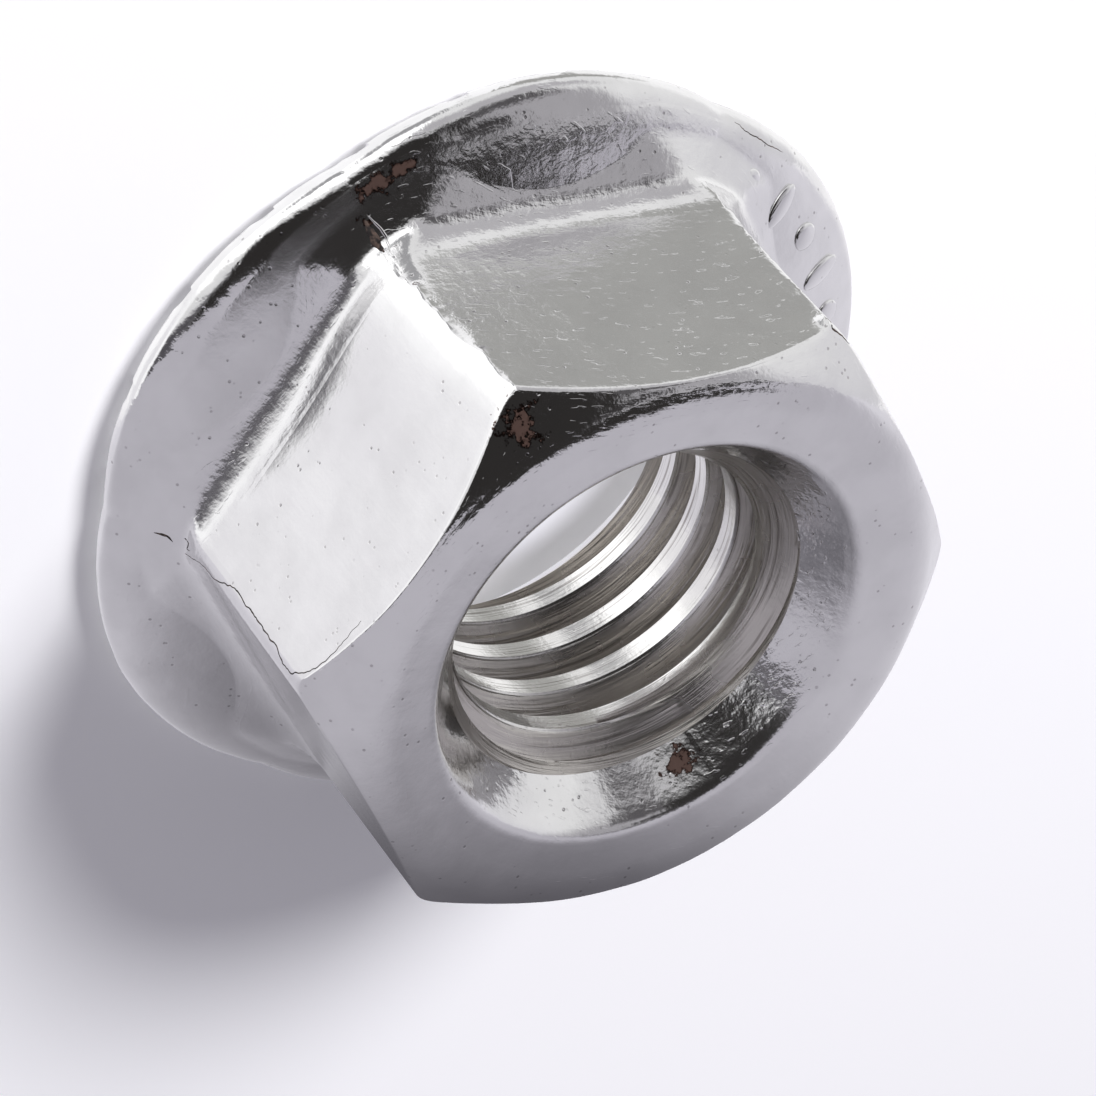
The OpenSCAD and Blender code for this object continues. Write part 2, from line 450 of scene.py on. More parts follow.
def dented(kind, radius, height):
    """A row's radii and heights with the shallow dents of forming and tumbling."""
    depth = DENTED.get(kind, 0)
    if not depth:
        return radius, height
    spots = zip(radius * np.cos(PHI), radius * np.sin(PHI), height)
    swell = np.array([noise.noise(Vector(spot) * 0.8) + 0.5 * noise.noise(Vector(spot) * 2.1) for spot in spots])
    out = {"rim": 1.0, "root": 0.8, "mouth": 1.0, "crown": 0.6, "lip": 0.5}.get(kind, 0.2)
    up = {"rim": 0.2, "root": 0.5, "mouth": 0.0, "crown": 0.8, "lip": 0.8}.get(kind, 1.0)
    lift = swell * depth * np.where(height < 0.02, 0, 1)
    return radius + lift * out, height + lift * up


def wall_radius(z):
    """Radius of the mouth, bore and recess at that height, before the thread is cut."""
    mouth = MOUTH_R - (MOUTH_Z - z) * math.tan(MOUTH)
    return np.maximum(np.maximum(mouth, RECESS_R - z), BORE_R)


def thread_radius(rise):
    """Radius of the thread at a height above a crest's middle."""
    beside = np.abs((rise / PITCH + 0.5) % 1 - 0.5) * PITCH
    return np.clip(BORE_R + (beside - CREST_HALF) / math.tan(FLANK), BORE_R, THREAD_R)


def wall_rows():
    """Rows down the bore's wall: they climb with the thread, and one lies where a turn meets the mouth or recess."""
    root_half = CREST_HALF + (THREAD_R - BORE_R) * math.tan(FLANK)
    marks = [0, CREST_HALF - 0.015, CREST_HALF + 0.015, (CREST_HALF + root_half) / 2]
    marks += [root_half - 0.03, root_half + 0.02]
    marks = [-m for m in marks[:0:-1]] + marks + [PITCH / 2]
    climb = PITCH * PHI / (2 * math.pi) + CREST_Z
    turns = range(math.ceil(WALL_TOP / PITCH) + 1, -3, -1)
    heights = np.array([climb + PITCH * n + m for n in turns for m in sorted(marks, reverse=True)])
    heights = np.clip(heights, WALL_LOW, WALL_TOP)
    gap = thread_radius(heights - climb) - wall_radius(heights)
    placed = heights.copy()
    for k in range(len(heights) - 1):
        step = gap[k] - gap[k + 1]
        crosses = (gap[k] * gap[k + 1] < 0) & (np.abs(heights[k] - heights[k + 1]) > 1e-6)
        part = np.where(crosses, gap[k] / np.where(step == 0, 1, step), 0)
        at = heights[k] + (heights[k + 1] - heights[k]) * part
        placed[k] = np.where(crosses & (part < 0.5), at, placed[k])
        placed[k + 1] = np.where(crosses & (part >= 0.5), at, placed[k + 1])
    keep = [k for k in range(len(placed)) if np.any((placed[k] < WALL_TOP) & (placed[k] > WALL_LOW))]
    return [(wall_radius(placed[k]), placed[k], "wall") for k in keep]


def combing(kind, z):
    """How strongly the tool has combed a row: fully in the root, less and less up the flats."""
    if kind == "root":
        return np.ones(PHI.shape)
    if kind == "flat":
        return np.clip(1 - (z - ROOT_Z) / 0.9, 0, 1) * 0.7
    return np.zeros(PHI.shape)


def body_mesh():
    """The nut as one closed skin on a grid of columns and rows, its bore still plain and its bearing face flat."""
    outside = outer_rows()
    wall = wall_rows()
    levels = [np.full(PHI.shape, z) for z in np.linspace(WALL_LOW, 0, 5)[:-1]]
    recess = [(wall_radius(z), z, "recess") for z in levels]
    rows = outside + wall + recess
    kinds = [kind for r, z, kind in rows]
    moved = [dented(kind, r, z) for r, z, kind in rows]
    radius = np.array([r for r, z in moved])
    height = np.array([z for r, z in moved])
    torn = np.array([by_side(TORN.get(kind, (0.2,) * 6)) for kind in kinds])
    matt = np.array([by_side(MATT.get(kind, (0.0,) * 6)) for kind in kinds])
    combed = np.array([combing(kind, z) for r, z, kind in rows])
    count_rows, count_columns = radius.shape
    inner = np.zeros(count_rows)
    inner[len(outside):len(outside) + len(wall)] = 1
    along = np.concatenate([[0], np.cumsum(np.hypot(np.diff(radius[:, 0]), np.diff(height[:, 0])))])
    across = np.where(inner[:, None] > 0, height - PITCH * PHI[None, :] / (2 * math.pi), along[:, None])
    points = np.stack([radius * np.cos(PHI), radius * np.sin(PHI), height], axis=-1).reshape(-1, 3)

    mesh = bpy.data.meshes.new("flange_nut_body")
    index = np.arange(count_rows * count_columns).reshape(count_rows, count_columns)
    following = np.roll(index, -1, axis=0)
    quads = np.stack([index[:, :-1], index[:, 1:], following[:, 1:], following[:, :-1]], axis=-1).reshape(-1, 4)
    mesh.from_pydata(points.tolist(), [], quads.tolist())
    for name, values in (
        ("wall", np.repeat(inner, count_columns)),
        ("under", (height.ravel() < RIM_HEIGHT) & (radius.ravel() > LAND_R + 0.002)),
        ("torn", torn.ravel()),
        ("combed", combed.ravel()),
        ("matt", matt.ravel()),
        ("stained", sum(np.exp(-np.sum((points - place) ** 2, axis=1) / reach**2) for place, reach in STAINS)),
    ):
        mesh.attributes.new(name, "FLOAT", "POINT").data.foreach_set("value", values.astype(float))
    uv = mesh.uv_layers.new(name="along_skin")
    around = np.broadcast_to(PHI * CROWN_R, radius.shape).ravel()
    corners = quads.ravel()
    uv.data.foreach_set("uv", np.stack([around[corners], across.ravel()[corners]], axis=-1).ravel())

    shell = bmesh.new()
    shell.from_mesh(mesh)
    bmesh.ops.remove_doubles(shell, verts=shell.verts, dist=2e-4)
    bmesh.ops.holes_fill(shell, edges=[edge for edge in shell.edges if edge.is_boundary], sides=4)
    bmesh.ops.recalc_face_normals(shell, faces=shell.faces)
    if shell.calc_volume(signed=True) < 0:
        bmesh.ops.reverse_faces(shell, faces=shell.faces)
    shell.to_mesh(mesh)
    shell.free()
    return mesh


def angle_of(graph, position):
    """Sockets of a point's x, y, z, distance from the thread axis and angle about it."""
    split = graph.add("ShaderNodeSeparateXYZ", {0: position}).outputs
    return split[0], split[1], split[2], graph.length(split[0], split[1]), graph.math("ARCTAN2", split[1], split[0])


def finished(graph, geometry, end, material, chosen=True):
    """Ends a tree: makes instances real and gives the chosen faces their material."""
    real = graph.add("GeometryNodeRealizeInstances", {0: geometry}).outputs[0]
    inputs = {"Geometry": real, "Selection": chosen, "Material": material}
    graph.tree.links.new(graph.add("GeometryNodeSetMaterial", inputs).outputs[0], end.inputs[0])


def chosen_points(graph, name):
    """Selection of the points that the mesh marks with this attribute."""
    mark = graph.add("GeometryNodeInputNamedAttribute", {"Name": name}, data_type="FLOAT").outputs[0]
    return graph.math("GREATER_THAN", mark, 0.99)


def moved_points(graph, geometry, chosen, x, y, z):
    place = graph.add("ShaderNodeCombineXYZ", {0: x, 1: y, 2: z}).outputs[0]
    inputs = {"Geometry": geometry, "Selection": chosen, "Position": place}
    return graph.add("GeometryNodeSetPosition", inputs).outputs[0]


def thread_tree():
    """Cuts a thread into the points marked wall: each moves out to the thread's form along its helix."""
    graph, sizes, end = geometry_tree(
        "cut_thread",
        {
            "Pitch": 1.25, "Crest radius": 3.45, "Root radius": 4.0,
            "Crest half width": 0.2, "Flank angle": 0.5, "Crest height": 0.0,
        },
    )
    position = graph.add("GeometryNodeInputPosition").outputs[0]
    x, y, z, radius, angle = angle_of(graph, position)
    climb = graph.math("MULTIPLY", graph.math("DIVIDE", angle, 2 * math.pi), sizes["Pitch"])
    rise = graph.math("SUBTRACT", graph.math("SUBTRACT", z, climb), sizes["Crest height"])
    turn = graph.math("ADD", graph.math("DIVIDE", rise, sizes["Pitch"]), 0.5)
    from_crest = graph.math("ABSOLUTE", graph.math("SUBTRACT", graph.math("FRACT", turn), 0.5))
    past = graph.math("SUBTRACT", graph.product(from_crest, sizes["Pitch"]), sizes["Crest half width"])
    depth = graph.math("DIVIDE", past, graph.math("TANGENT", sizes["Flank angle"]))
    form = graph.math("MINIMUM", graph.math("ADD", sizes["Crest radius"], depth), sizes["Root radius"])
    scale = graph.math("DIVIDE", graph.math("MAXIMUM", form, radius), radius)
    chosen = chosen_points(graph, "wall")
    cut = moved_points(graph, sizes["Geometry"], chosen, graph.product(x, scale), graph.product(y, scale), z)
    finished(graph, cut, end, sizes["Material"], chosen)
    return graph


def teeth_tree():
    """Presses locking teeth into the points marked under: a ramp up from each steep side to the next land."""
    graph, sizes, end = geometry_tree("press_teeth", {"Teeth": 24, "Gap": 0.17, "Ramp": 0.24})
    position = graph.add("GeometryNodeInputPosition").outputs[0]
    x, y, z, radius, angle = angle_of(graph, position)
    pitch = graph.math("DIVIDE", 2 * math.pi, sizes["Teeth"])
    start = graph.math("SUBTRACT", graph.math("MULTIPLY", sizes["Gap"], 0.5), angle)
    turns = graph.math("FRACT", graph.math("ADD", graph.math("DIVIDE", start, pitch), 2.0))
    into = graph.product(turns, pitch)
    in_gap = graph.math("LESS_THAN", into, sizes["Gap"])
    depth = graph.product(radius, graph.math("SINE", into), graph.math("TANGENT", sizes["Ramp"]), in_gap)
    chosen = chosen_points(graph, "under")
    pressed = moved_points(graph, sizes["Geometry"], chosen, x, y, graph.math("MAXIMUM", z, depth))
    finished(graph, pressed, end, sizes["Material"], chosen)
    return graph


def marks_tree():
    """Raised dots and bars in a row on the flange's slope, laid about one lobe's own axis."""
    graph, sizes, end = geometry_tree(
        "flange_marks",
        {
            "Count": 7, "First angle": 0.0, "Step": 0.1,
            "Row radius": 6.4, "Lobe top": 3.6, "Slope": 0.35, "Relief": 0.05,
        },
    )
    index = graph.add("GeometryNodeInputIndex").outputs[0]
    angle = graph.math("ADD", sizes["First angle"], graph.math("MULTIPLY", index, sizes["Step"]))
    drop = graph.product(sizes["Row radius"], graph.math("TANGENT", sizes["Slope"]))
    height = graph.math("SUBTRACT", sizes["Lobe top"], drop)
    place = graph.add(
        "ShaderNodeCombineXYZ",
        {
            0: graph.math("MULTIPLY", sizes["Row radius"], graph.math("COSINE", angle)),
            1: graph.math("MULTIPLY", sizes["Row radius"], graph.math("SINE", angle)),
            2: height,
        },
    ).outputs[0]
    row = graph.add("GeometryNodePoints", {"Count": sizes["Count"], "Position": place, "Radius": 0.05}).outputs[0]
    lens = graph.add("GeometryNodeMeshUVSphere", {"Segments": 20, "Rings": 10, "Radius": 1.0}).outputs[0]
    shapes = graph.add("GeometryNodeGeometryToInstance")
    for length, width in ((0.32, 0.30), (0.54, 0.24)):
        size = graph.add("ShaderNodeCombineXYZ", {0: length, 1: width, 2: sizes["Relief"]}).outputs[0]
        shape = graph.add("GeometryNodeTransform", {"Geometry": lens, "Scale": size}).outputs[0]
        graph.tree.links.new(shape, shapes.inputs[0])
    turned = graph.add("ShaderNodeCombineXYZ", {0: 0.0, 1: sizes["Slope"], 2: angle}).outputs[0]
    choice = graph.math("MODULO", index, 2.0)
    inputs = {"Points": row, "Instance": shapes.outputs[0], "Pick Instance": True}
    inputs.update({"Instance Index": choice, "Rotation": turned})
    placed = graph.add("GeometryNodeInstanceOnPoints", inputs).outputs[0]
    finished(graph, placed, end, sizes["Material"])
    return graph


def lines_tree():
    """Sweeps a round section along each drawn line, as thick as the line is wide there, and closes its ends."""
    graph, sizes, end = geometry_tree("drawn_lines", {"Sides": 6, "Swelling": 1.0})
    curve = graph.add("GeometryNodeMeshToCurve", {"Mesh": sizes["Geometry"]}).outputs[0]
    width = graph.add("GeometryNodeInputNamedAttribute", {"Name": "half_width"}, data_type="FLOAT").outputs[0]
    section = graph.add("GeometryNodeCurvePrimitiveCircle", {"Resolution": sizes["Sides"], "Radius": 1.0}).outputs[0]
    thickness = graph.product(width, sizes["Swelling"])
    inputs = {"Curve": curve, "Profile Curve": section, "Scale": thickness, "Fill Caps": True}
    swept = graph.add("GeometryNodeCurveToMesh", inputs).outputs[0]
    finished(graph, swept, end, sizes["Material"])
    return graph


def scaled(piece):
    """Turns the piece's millimetres into metres."""
    piece.data.transform(Matrix.Scale(MM, 4))
    piece.data.update()


# Metal: heights are in thousandths of a millimetre
MICRON = 0.000001


def skin_group():
    """Shader group: the skin of cold-formed, tumbled metal, as a height and as a mask of its pits."""
    tree = bpy.data.node_groups.new("tumbled_skin", "ShaderNodeTree")
    for label in ("Position", "Around"):
        tree.interface.new_socket(label, in_out="INPUT", socket_type="NodeSocketVector")
    for label in ("Torn", "Combed", "Peel", "Swell", "Grit", "Pits"):
        tree.interface.new_socket(label, in_out="INPUT", socket_type="NodeSocketFloat")
    for label in ("Height", "Pitting"):
        tree.interface.new_socket(label, in_out="OUTPUT", socket_type="NodeSocketFloat")
    graph = Graph(tree)
    given = graph.add("NodeGroupInput").outputs
    end = graph.add("NodeGroupOutput")

    def cloud(vector, scale, detail=2.0, roughness=0.55):
        inputs = {"Vector": vector, "Scale": scale, "Detail": detail, "Roughness": roughness}
        return graph.add("ShaderNodeTexNoise", inputs).outputs[0]

    def stretched(vector, across, up):
        return graph.vector("MULTIPLY", vector, (across, up, 1.0))

    around = given["Around"]
    place = given["Position"]
    torn = given["Torn"]
    peel = graph.product(cloud(place, 3.0, 3.0), given["Peel"], graph.math("MULTIPLY_ADD", torn, 2.6, 0.5))
    swell = graph.product(cloud(place, 0.75, 1.0), given["Swell"])
    grit = graph.product(cloud(place, 13.0), given["Grit"], graph.math("MULTIPLY_ADD", torn, 2.0, 0.5))
    tilted = graph.add("ShaderNodeMapping", {"Vector": around, "Rotation": (0.0, 0.0, 0.27)}).outputs[0]
    streaks = graph.product(cloud(stretched(tilted, 2.0, 4.4), 1.0, 2.0, 0.6), torn, 10.0)
    scars = graph.product(graph.spread(cloud(stretched(tilted, 2.2, 7.0), 1.2, 1.5), 0.64, 0.69), torn)
    comb = graph.product(cloud(stretched(around, 9.0, 0.9), 1.0, 3.0, 0.6), given["Combed"], 2.6)
    drawn = graph.product(cloud(stretched(around, 9.0, 0.25), 1.0), graph.math("MULTIPLY_ADD", torn, -1.1, 1.1))
    cells = graph.add("ShaderNodeTexVoronoi", {"Vector": place, "Scale": 4.2}).outputs["Distance"]
    few = graph.spread(cloud(place, 1.6, 1.0), 0.52, 0.62)
    pits = graph.product(graph.spread(cells, 0.20, 0.08), few, given["Pits"])
    deep = graph.product(pits, -5.0)
    height = graph.total(peel, swell, grit, streaks, graph.product(scars, 4.0), comb, drawn, deep)
    tree.links.new(height, end.inputs["Height"])
    tree.links.new(pits, end.inputs["Pitting"])
    return tree


def new_material(name):
    """An empty material and the graph of its tree."""
    material = bpy.data.materials.new(name)
    material.use_nodes = True
    material.node_tree.nodes.clear()
    return material, Graph(material.node_tree)


def in_millimetres(graph):
    """The piece's own coordinates, in millimetres."""
    return graph.vector("MULTIPLY", graph.add("ShaderNodeTexCoord").outputs["Object"], (1000.0, 1000.0, 1000.0))


class Metal:
    """Bright metal with the tumbled skin; stains darken it where the piece is marked stained."""

    def __init__(self, name, skin, colour, roughness, torn_roughness, sizes):
        self.material, graph = new_material(name)
        self.graph = graph
        self.position = in_millimetres(graph)
        self.around = graph.add("ShaderNodeTexCoord").outputs["UV"]
        torn, combed, stained, matt = (
            graph.add("ShaderNodeAttribute", attribute_name=label).outputs["Fac"]
            for label in ("torn", "combed", "stained", "matt")
        )
        inputs = {"Position": self.position, "Around": self.around, "Torn": torn, "Combed": combed}
        effect = graph.add("ShaderNodeGroup", node_tree=skin)
        for label, value in inputs.items():
            graph.tree.links.new(value, effect.inputs[label])
        for label, value in sizes.items():
            effect.inputs[label].default_value = value

        cloud = graph.add("ShaderNodeTexNoise", {"Vector": self.position, "Scale": 0.8, "Detail": 3.0}).outputs[0]
        patchy = {"Vector": self.position, "Scale": 4.5, "Detail": 4.0, "Roughness": 0.65}
        mottle = graph.add("ShaderNodeTexNoise", patchy).outputs[0]
        stain = graph.spread(graph.math("ADD", graph.product(stained, 0.36), mottle), 0.64, 0.86)
        stain = graph.product(stain, graph.spread(stained, 0.03, 0.2))
        darker = tuple(c * 0.93 for c in colour[:3]) + (1.0,)
        shade = graph.mix(graph.spread(cloud, 0.35, 0.7), colour, darker)
        shade = graph.mix(graph.product(effect.outputs["Pitting"], 0.55), shade, (0.28, 0.265, 0.27, 1.0))
        self.shade = graph.mix(graph.spread(stain, 0.0, 0.35), shade, (0.085, 0.052, 0.043, 1.0))
        rough = graph.math("ADD", graph.spread(cloud, 0.3, 0.75, roughness, roughness * 1.4), matt)
        rough = graph.math("MULTIPLY_ADD", torn, torn_roughness, rough)
        self.rough = graph.math("MULTIPLY_ADD", stain, 0.25, rough)
        self.metallic = graph.spread(stain, 0.45, 1.0, 1.0, 0.3)
        self.height = effect.outputs["Height"]

    def finish(self):
        shaded(self.graph, self.shade, self.rough, self.metallic, self.height)
        return self.material


def shaded(graph, shade, rough, metallic, height):
    """Puts the colour, roughness, metal and height on the shader."""
    bump = graph.add("ShaderNodeBump", {"Height": height, "Strength": 1.0, "Distance": MICRON}).outputs[0]
    inputs = {"Base Color": shade, "Metallic": metallic, "Roughness": rough, "Normal": bump}
    shader = graph.add("ShaderNodeBsdfPrincipled", inputs)
    graph.tree.links.new(shader.outputs[0], graph.add("ShaderNodeOutputMaterial").inputs[0])


def formed_metal(skin):
    """The nut's skin as it was cold formed."""
    sizes = {"Peel": 6.0, "Swell": 14.0, "Grit": 1.5, "Pits": 1.0}
    return Metal("formed_steel", skin, (0.83, 0.825, 0.83, 1.0), 0.06, 0.07, sizes).finish()


def cut_metal(skin):
    """The thread as the tap left it: smooth crests, rough flanks and fine lines along the helix; the flanks get
    painted shade with a warm tint, down in the thread's grooves, and the fine lines get painted shade too.
    """
    sizes = {"Peel": 8.0, "Swell": 10.0, "Grit": 3.0, "Pits": 0.6}
    steel = Metal("cut_steel", skin, (0.84, 0.83, 0.82, 1.0), 0.14, 0.10, sizes)
    graph = steel.graph
    split = graph.add("ShaderNodeSeparateXYZ", {0: steel.position}).outputs
    flank = graph.spread(graph.length(split[0], split[1]), BORE_R + 0.02, BORE_R + 0.09)
    turned = graph.vector("MULTIPLY", steel.around, (0.14, 13.0, 1.0))
    fine = {"Vector": turned, "Scale": 1.0, "Detail": 3.0, "Roughness": 0.65}
    ridges = graph.add("ShaderNodeTexNoise", fine).outputs[0]
    relief = graph.product(ridges, graph.spread(flank, 0.0, 1.0, 7.0, 26.0))
    steel.height = graph.math("ADD", steel.height, relief)
    # Painted shade with a warm tint: the flanks, down in the thread's grooves, darker than the crests
    shade = graph.mix(graph.product(flank, 0.8), steel.shade, (0.56, 0.53, 0.495, 1.0))
    # Painted shade in the fine lines along the helix
    painted_groove_shade = graph.product(graph.spread(ridges, 0.54, 0.66), 0.7)
    steel.shade = graph.mix(painted_groove_shade, shade, (0.20, 0.18, 0.165, 1.0))
    steel.rough = graph.math("ADD", steel.rough, graph.product(flank, 0.10))
    return steel.finish()


def oxide_material():
    """Dark oxide in the folds, creases and cracks."""
    material, graph = new_material("dark_oxide")
    crust = graph.add("ShaderNodeTexNoise", {"Vector": in_millimetres(graph), "Scale": 9.0, "Detail": 3.0}).outputs[0]
    shade = graph.mix(graph.spread(crust, 0.42, 0.66), (0.022, 0.018, 0.017, 1.0), (0.12, 0.085, 0.07, 1.0))
    rough = graph.spread(crust, 0.3, 0.7, 0.45, 0.75)
    shaded(graph, shade, rough, 0.3, graph.product(crust, 12.0))
    return material


# Camera: azimuth and height that it looks from, its roll, distance in mm and the nut's place in the picture in mm
CAMERA_AZIMUTH = math.radians(7.7462)
CAMERA_HEIGHT = math.radians(42.0615)
CAMERA_ROLL = math.radians(140.9083)
CAMERA_DISTANCE = 130.4422
NUT_RIGHT = -1.3698
NUT_DOWN = -2.2734
FIELD_OF_VIEW = math.radians(9.9588)

TOWARD = Vector((math.cos(CAMERA_AZIMUTH), math.sin(CAMERA_AZIMUTH), math.tan(CAMERA_HEIGHT))).normalized()
AHEAD = -TOWARD
LEVEL = AHEAD.cross(Vector((0, 0, 1))).normalized()
RIGHT = LEVEL * math.cos(CAMERA_ROLL) + LEVEL.cross(AHEAD) * math.sin(CAMERA_ROLL)
DOWN = AHEAD.cross(RIGHT)


def add_camera():
    data = bpy.data.cameras.new("camera")
    data.sensor_fit = "HORIZONTAL"
    data.angle = FIELD_OF_VIEW
    data.clip_start = 0.005
    data.clip_end = 5
    camera = bpy.data.objects.new("camera", data)
    bpy.context.scene.collection.objects.link(camera)
    turned = Matrix((RIGHT, -DOWN, -AHEAD)).transposed()
    nut = Vector((0, 0, RIM_HEIGHT))
    stand = nut - RIGHT * NUT_RIGHT - DOWN * NUT_DOWN - AHEAD * CAMERA_DISTANCE
    camera.matrix_world = Matrix.Translation(stand * MM) @ turned.to_4x4()
    bpy.context.scene.camera = camera


# Studio: the picture's own upright, front and right, in the nut's frame
UP = Vector((0.8275, -0.4778, -0.3100)).normalized()
FRONT = (TOWARD - UP * TOWARD.dot(UP)).normalized()
SIDEWAYS = UP.cross(FRONT)

# What the metal mirrors: azimuth from the front to the right and elevation in degrees, soft edge, light
PANELS = (
    ("back wall, left", -190, -62, -30, 62, 10, (1.15, 1.15, 1.16)),
    ("back wall, right", 122, 190, -30, 38, 12, (1.1, 1.1, 1.1)),
    ("left wall, low", -118, -84, -30, 19, 7, (0.93, 0.92, 0.95)),
    ("soft box overhead, left", -114, -28, 30, 82, 5, (1.5, 1.5, 1.5)),
    ("soft box overhead", -40, 10, 48, 82, 5, (1.5, 1.5, 1.5)),
    ("ceiling, left", -160, -60, 62, 88, 4, (0.40, 0.40, 0.41)),
    ("wall, upper right", 12, 96, 40, 68, 7, (0.52, 0.51, 0.53)),
    ("ceiling, back", 136, 206, 33, 62, 5, (0.42, 0.42, 0.405)),
    ("grey card, left", -66, -18, -6, 10, 5, (0.09, 0.085, 0.095)),
    ("grey card, right", 36, 74, -6, 33, 9, (0.42, 0.41, 0.43)),
    ("dark room behind the camera", -20, 40, -30, 38, 5, (0.028, 0.026, 0.025)),
    ("dark corner, upper right", 36, 62, 24, 42, 5, (0.10, 0.095, 0.10)),
    ("dark corner, low right", 34, 58, -40, -7, 4, (0.03, 0.028, 0.029)),
    ("dark corner, right", 36, 50, 1, 13, 3, (0.04, 0.037, 0.038)),
)


def plain_material(name, shader):
    material, graph = new_material(name)
    graph.tree.links.new(shader(graph), graph.add("ShaderNodeOutputMaterial").inputs[0])
    return material


def floor_look(graph):
    """Pale floor that keeps the nut's shadow; the camera sees it white in the distance, and under the bore it glows
    for the camera alone, a painted light where the floor lies in the nut's shade.
    """
    paint = graph.add("ShaderNodeBsdfDiffuse", {"Color": (0.965, 0.96, 0.985, 1.0)}).outputs[0]
    distance = graph.vector("LENGTH", in_millimetres(graph))
    # Painted light: a disc under the bore glows for the camera and lifts the shade seen inside the bore
    through = graph.spread(distance, 4.6, 3.6)
    away = graph.spread(distance, 30.0, 200.0)
    shade = graph.mix(away, (0.90, 0.89, 0.96, 1.0), (1.0, 1.0, 1.0, 1.0))
    white = graph.add("ShaderNodeEmission", {"Color": shade, "Strength": 1.0}).outputs[0]
    camera_ray = graph.add("ShaderNodeLightPath").outputs["Is Camera Ray"]
    share = graph.product(graph.math("MAXIMUM", through, away), camera_ray)
    return graph.add("ShaderNodeMixShader", {0: share, 1: paint, 2: white}).outputs[0]


def add_floor():
    mesh = bpy.data.meshes.new("floor")
    half = 0.6
    mesh.from_pydata([(-half, -half, 0), (half, -half, 0), (half, half, 0), (-half, half, 0)], [], [(0, 1, 2, 3)])
    floor = new_piece("floor", mesh)
    mesh.materials.append(plain_material("floor_paint_and_bore_glow", floor_look))
    floor.visible_glossy = False


# How far the table lies along UP from the base of the nut, in mm
TABLE_DROP = -8.8


def table_glow(graph):
    """The table as the metal mirrors it, painted into a card's glow: pale, with painted light brighter at the back, a
    painted shadow under the nut, dark past its edge.
    """
    place = in_millimetres(graph)
    aside = graph.vector("DOT_PRODUCT", place, tuple(SIDEWAYS))
    ahead = graph.vector("DOT_PRODUCT", place, tuple(FRONT))
    # Painted shadow: a dark spot around the nut's foot, standing in for its shadow on the table
    near = graph.vector("DISTANCE", place, tuple(UP * TABLE_DROP + FRONT * 3.0 + SIDEWAYS * 0.5))
    # Painted light: the table brighter towards the back and white far behind
    shade = graph.mix(graph.spread(ahead, 12.0, -14.0), (0.53, 0.515, 0.565, 1), (0.79, 0.775, 0.83, 1))
    shade = graph.mix(graph.spread(ahead, -25.0, -60.0), shade, (1.05, 1.04, 1.06, 1))
    shade = graph.mix(graph.spread(near, 11.0, 1.5), shade, (0.11, 0.105, 0.12, 1))
    near_edge = graph.spread(aside, 20.0, 60.0, 41.5, 37.0, smooth=False)
    past = graph.spread(ahead, near_edge, graph.math("ADD", near_edge, 1.6))
    side = graph.math("MULTIPLY_ADD", ahead, -0.23, aside)
    past = graph.product(past, graph.spread(side, -10.5, -7.5))
    gap = graph.product(graph.spread(aside, 20.0, 24.0), graph.spread(aside, 45.0, 41.0))
    gap = graph.product(gap, graph.spread(ahead, 17.0, 21.0))
    shade = graph.mix(graph.math("MAXIMUM", past, gap), shade, (0.028, 0.026, 0.025, 1))
    return graph.add("ShaderNodeEmission", {"Color": shade, "Strength": 1.0}).outputs[0]


def add_table_card():
    """A glowing card under the nut's lower side that only reflections see, with the table's light and the nut's
    shadow painted on it.
    """
    mesh = bpy.data.meshes.new("table_card")
    half = 150.0
    ends = ((-1, -1), (1, -1), (1, 1), (-1, 1))
    corners = [UP * TABLE_DROP + SIDEWAYS * a * half + FRONT * b * half for a, b in ends]
    mesh.from_pydata([tuple(c * MM) for c in corners], [], [(0, 1, 2, 3)])
    card = new_piece("table_card", mesh)
    mesh.materials.append(plain_material("painted_table_reflection", table_glow))
    card.visible_camera = card.visible_diffuse = card.visible_shadow = card.visible_transmission = False


def add_surround():
    """The room that the metal mirrors, and the plain white that lights the floor."""
    world = bpy.data.worlds.new("studio")
    bpy.context.scene.world = world
    world.use_nodes = True
    world.node_tree.nodes.clear()
    graph = Graph(world.node_tree)
    look = graph.add("ShaderNodeTexCoord").outputs["Generated"]
    up = graph.vector("DOT_PRODUCT", look, tuple(UP))
    front = graph.vector("DOT_PRODUCT", look, tuple(FRONT))
    right = graph.vector("DOT_PRODUCT", look, tuple(SIDEWAYS))
    azimuth = graph.math("MULTIPLY", graph.math("ARCTAN2", right, front), 180 / math.pi)
    elevation = graph.math("MULTIPLY", graph.math("ARCSINE", up), 180 / math.pi)

    seen = graph.mix(graph.spread(elevation, -15.0, 30.0), (0.68, 0.67, 0.71, 1), (0.9, 0.9, 0.9, 1))
    for name, left, rightmost, low, high, soft, light in PANELS:
        past_left = graph.spread(azimuth, left - soft, left + soft)
        before_right = graph.spread(azimuth, rightmost + soft, rightmost - soft)
        above_low = graph.spread(elevation, low - soft, low + soft)
        below_high = graph.spread(elevation, high + soft, high - soft)
        mask = graph.product(past_left, before_right, graph.product(above_low, below_high))
        mask.node.label = name
        seen = graph.mix(mask, seen, light + (1.0,))

    path = graph.add("ShaderNodeLightPath")
    glossy = graph.add("ShaderNodeBackground", {"Color": seen, "Strength": 1.0}).outputs[0]
    plain = graph.add("ShaderNodeBackground", {"Color": (0.985, 0.96, 1.06, 1), "Strength": 0.34}).outputs[0]
    white = graph.add("ShaderNodeBackground", {"Color": (1, 1, 1, 1), "Strength": 1.0}).outputs[0]
    mixed = graph.add("ShaderNodeMixShader", {0: path.outputs["Is Glossy Ray"], 1: plain, 2: glossy}).outputs[0]
    mixed = graph.add("ShaderNodeMixShader", {0: path.outputs["Is Camera Ray"], 1: mixed, 2: white}).outputs[0]
    graph.tree.links.new(mixed, graph.add("ShaderNodeOutputWorld").inputs[0])


